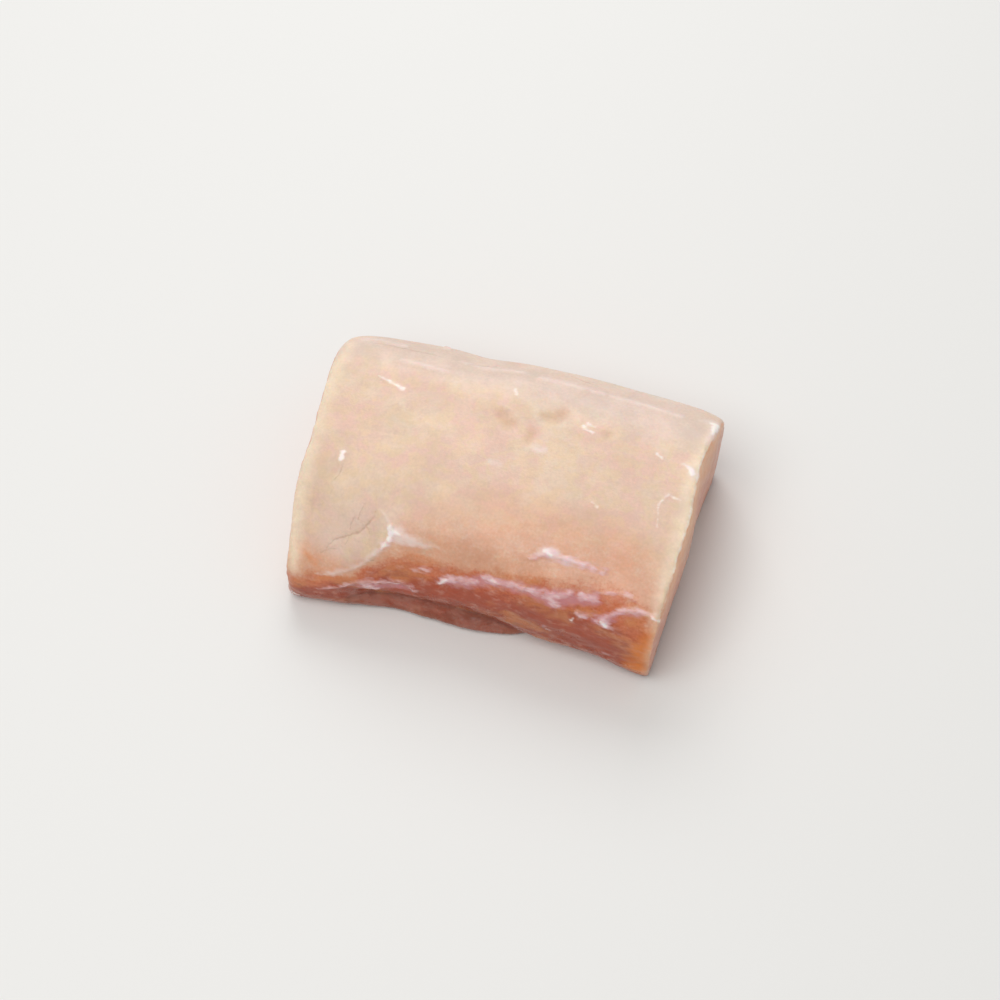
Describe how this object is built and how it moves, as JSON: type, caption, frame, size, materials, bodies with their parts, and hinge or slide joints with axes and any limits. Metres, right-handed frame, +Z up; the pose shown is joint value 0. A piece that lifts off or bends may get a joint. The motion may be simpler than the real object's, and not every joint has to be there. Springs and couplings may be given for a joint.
{
  "type": "boneless pork loin piece",
  "caption": "Raw boneless pork loin, a short trimmed length cut square across the grain at both ends, lying on its flat underside with a pared facet at one front corner.",
  "frame": {"origin": "under the middle of the piece, on the plane of its flat underside", "axes": "+X along the grain, from the left cut end to the right one; +Y from the front side to the back; +Z up, from the flat underside to the crown"},
  "size_m": [0.1392, 0.0968, 0.044],
  "materials": {
    "pork_loin": "raw trimmed meat: pale pinkish beige on the top and ends, redder on the front side, moist with a soft sheen, thin white membrane and fat lines"
  },
  "bodies": {
    "root": {"pork_loin": "pork_loin"}
  },
  "joints": []
}
